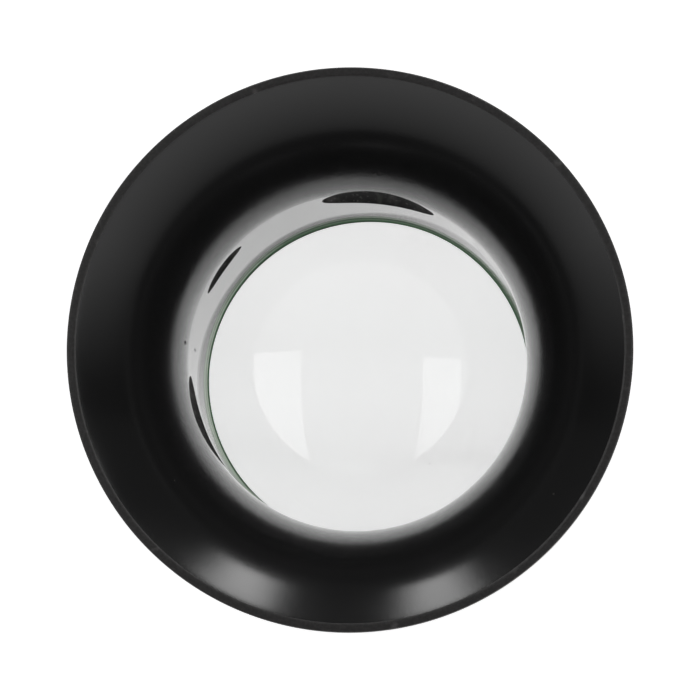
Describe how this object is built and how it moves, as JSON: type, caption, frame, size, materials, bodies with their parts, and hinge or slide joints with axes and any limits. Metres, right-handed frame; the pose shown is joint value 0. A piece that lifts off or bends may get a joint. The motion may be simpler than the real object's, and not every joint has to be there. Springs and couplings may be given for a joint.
{
  "type": "watchmaker loupe",
  "caption": "Eye-held magnifier: black flared eyecup over a drafted barrel, a flat-faced convex lens at the far end, held by a ribbed screw cap.",
  "frame": {"origin": "centre of the cap's flat face, which the loupe stands on", "axes": "+Z along the optical axis, from the cap up to the eyecup's rim"},
  "size_m": [0.036, 0.036, 0.031],
  "materials": {
    "eyecup_plastic": "satin black moulding, polished inside the barrel",
    "lens_glass": "polished faces, fine ground bevels with a green tint",
    "cap_plastic": "satin black moulding"
  },
  "bodies": {
    "eyecup": {"eyecup": "eyecup_plastic"},
    "lens": {"lens": "lens_glass"},
    "screw_cap": {"screw_cap": "cap_plastic"}
  },
  "joints": [
    {"name": "cap_travel", "type": "slide", "parent": "eyecup", "child": "lens", "axis": [0, 0, -1], "range_m": [0, 0.0048]},
    {"name": "cap_turn", "type": "hinge", "parent": "lens", "child": "screw_cap", "pos_m": [0, 0, 0.004], "axis": [0, 0, -1], "range_deg": [0, 1080]}
  ],
  "couplings": [
    {"joint": "cap_travel", "follows": "cap_turn", "m_per_rad": 0.00025464}
  ]
}
